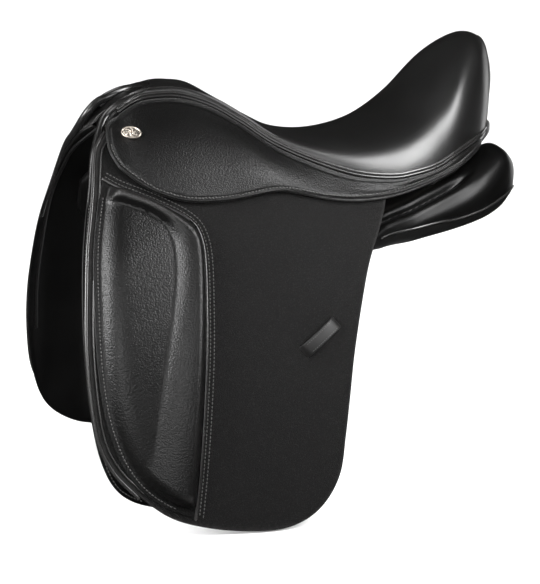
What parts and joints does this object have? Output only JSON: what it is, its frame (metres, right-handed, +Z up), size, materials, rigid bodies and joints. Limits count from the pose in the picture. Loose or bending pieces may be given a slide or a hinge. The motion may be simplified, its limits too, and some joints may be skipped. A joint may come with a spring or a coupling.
{
  "type": "english saddle",
  "caption": "Dressage pattern english saddle with deep seat, straight-cut flaps, external knee blocks, skirts, stirrup bars, girth straps and flocked panels.",
  "frame": {"origin": "on the centre plane, in the channel between the panels, level with the seat's deepest point, where the saddle sits on a rack or the horse's back", "axes": "+Z up, +X towards the cantle (rear), near (left) side at -Y"},
  "size_m": [0.5162, 0.4438, 0.4966],
  "materials": {
    "foam": "foam under cloth",
    "leather_flap": "matt, plain cut edges",
    "leather_grain": "grained satin",
    "leather_panel": "smooth gloss",
    "leather_smooth": "satin",
    "nail_metal": "polished pewter",
    "steel": "bare",
    "tree_wood": "laminated beech",
    "webbing": "woven"
  },
  "bodies": {
    "saddle": {"bar_foot_near": "steel", "bar_foot_off": "steel", "bar_rivet_near_1": "steel", "bar_rivet_near_2": "steel", "bar_rivet_off_1": "steel", "bar_rivet_off_2": "steel", "cantle_back": "leather_smooth", "cantle_strip": "leather_smooth", "cross_web": "webbing", "flap_head_near": "leather_flap", "flap_head_off": "leather_flap", "girth_web_near": "webbing", "girth_web_off": "webbing", "head_plate": "steel", "long_web_near": "webbing", "long_web_off": "webbing", "nail_near": "nail_metal", "nail_off": "nail_metal", "panel_near": "leather_panel", "panel_off": "leather_panel", "point_pocket_near": "leather_panel", "point_pocket_off": "leather_panel", "pommel_facing": "leather_smooth", "rear_gusset_near": "leather_panel", "rear_gusset_off": "leather_panel", "seat_cover": "leather_smooth", "seat_foam": "foam", "seat_welt_near": "leather_smooth", "seat_welt_off": "leather_smooth", "skirt_head_near": "leather_grain", "skirt_head_off": "leather_grain", "skirt_rear_near": "leather_grain", "skirt_rear_off": "leather_grain", "stirrup_bar_near": "steel", "stirrup_bar_off": "steel", "sweat_flap_near": "leather_panel", "sweat_flap_off": "leather_panel", "tree_cantle": "tree_wood", "tree_frame": "tree_wood"},
    "flap_near": {"flap_near": "leather_flap", "flap_welt_near": "leather_smooth", "knee_block_near": "leather_grain", "block_piping_near": "leather_smooth", "keeper_near": "leather_smooth"},
    "skirt_near": {"skirt_near": "leather_grain"},
    "bar_catch_near": {"bar_catch_near": "steel"},
    "girth_strap_near_front": {"girth_strap_near_front": "leather_flap"},
    "girth_strap_near_rear": {"girth_strap_near_rear": "leather_flap"},
    "flap_off": {"flap_off": "leather_flap", "flap_welt_off": "leather_smooth", "knee_block_off": "leather_grain", "block_piping_off": "leather_smooth", "keeper_off": "leather_smooth"},
    "skirt_off": {"skirt_off": "leather_grain"},
    "bar_catch_off": {"bar_catch_off": "steel"},
    "girth_strap_off_front": {"girth_strap_off_front": "leather_flap"},
    "girth_strap_off_rear": {"girth_strap_off_rear": "leather_flap"}
  },
  "joints": [
    {"name": "flap_lift_near", "type": "hinge", "parent": "saddle", "child": "flap_near", "pos_m": [-0.1125, -0.12835, 0.04215], "axis": [-0.9454, 0.1955, 0.2607], "range_deg": [0, 55]},
    {"name": "flap_lift_off", "type": "hinge", "parent": "saddle", "child": "flap_off", "pos_m": [-0.1125, 0.12835, 0.04215], "axis": [0.9454, 0.1955, -0.2607], "range_deg": [0, 55]},
    {"name": "skirt_lift_near", "type": "hinge", "parent": "saddle", "child": "skirt_near", "pos_m": [-0.14, -0.0994, 0.1113], "axis": [-0.9901, 0.099, 0.099], "range_deg": [0, 30]},
    {"name": "skirt_lift_off", "type": "hinge", "parent": "saddle", "child": "skirt_off", "pos_m": [-0.14, 0.0994, 0.1113], "axis": [0.9901, 0.099, -0.099], "range_deg": [0, 30]},
    {"name": "bar_catch_near", "type": "hinge", "parent": "saddle", "child": "bar_catch_near", "pos_m": [-0.09722, -0.09603, 0.09856], "axis": [-0.0396, -0.792, 0.6093], "range_deg": [0, 75]},
    {"name": "bar_catch_off", "type": "hinge", "parent": "saddle", "child": "bar_catch_off", "pos_m": [-0.09722, 0.09603, 0.09856], "axis": [0.0396, -0.792, -0.6093], "range_deg": [0, 75]},
    {"name": "girth_strap_front_near", "type": "hinge", "parent": "saddle", "child": "girth_strap_near_front", "pos_m": [-0.12, -0.11894, 0.03462], "axis": [0, 0.8719, -0.4897], "range_deg": [-6, 6]},
    {"name": "girth_strap_front_off", "type": "hinge", "parent": "saddle", "child": "girth_strap_off_front", "pos_m": [-0.12, 0.11894, 0.03462], "axis": [0, 0.8719, 0.4897], "range_deg": [-6, 6]},
    {"name": "girth_strap_rear_near", "type": "hinge", "parent": "saddle", "child": "girth_strap_near_rear", "pos_m": [-0.062, -0.12184, 0.03462], "axis": [0, 0.8719, -0.4897], "range_deg": [-6, 6]},
    {"name": "girth_strap_rear_off", "type": "hinge", "parent": "saddle", "child": "girth_strap_off_rear", "pos_m": [-0.062, 0.12184, 0.03462], "axis": [0, 0.8719, 0.4897], "range_deg": [-6, 6]}
  ]
}
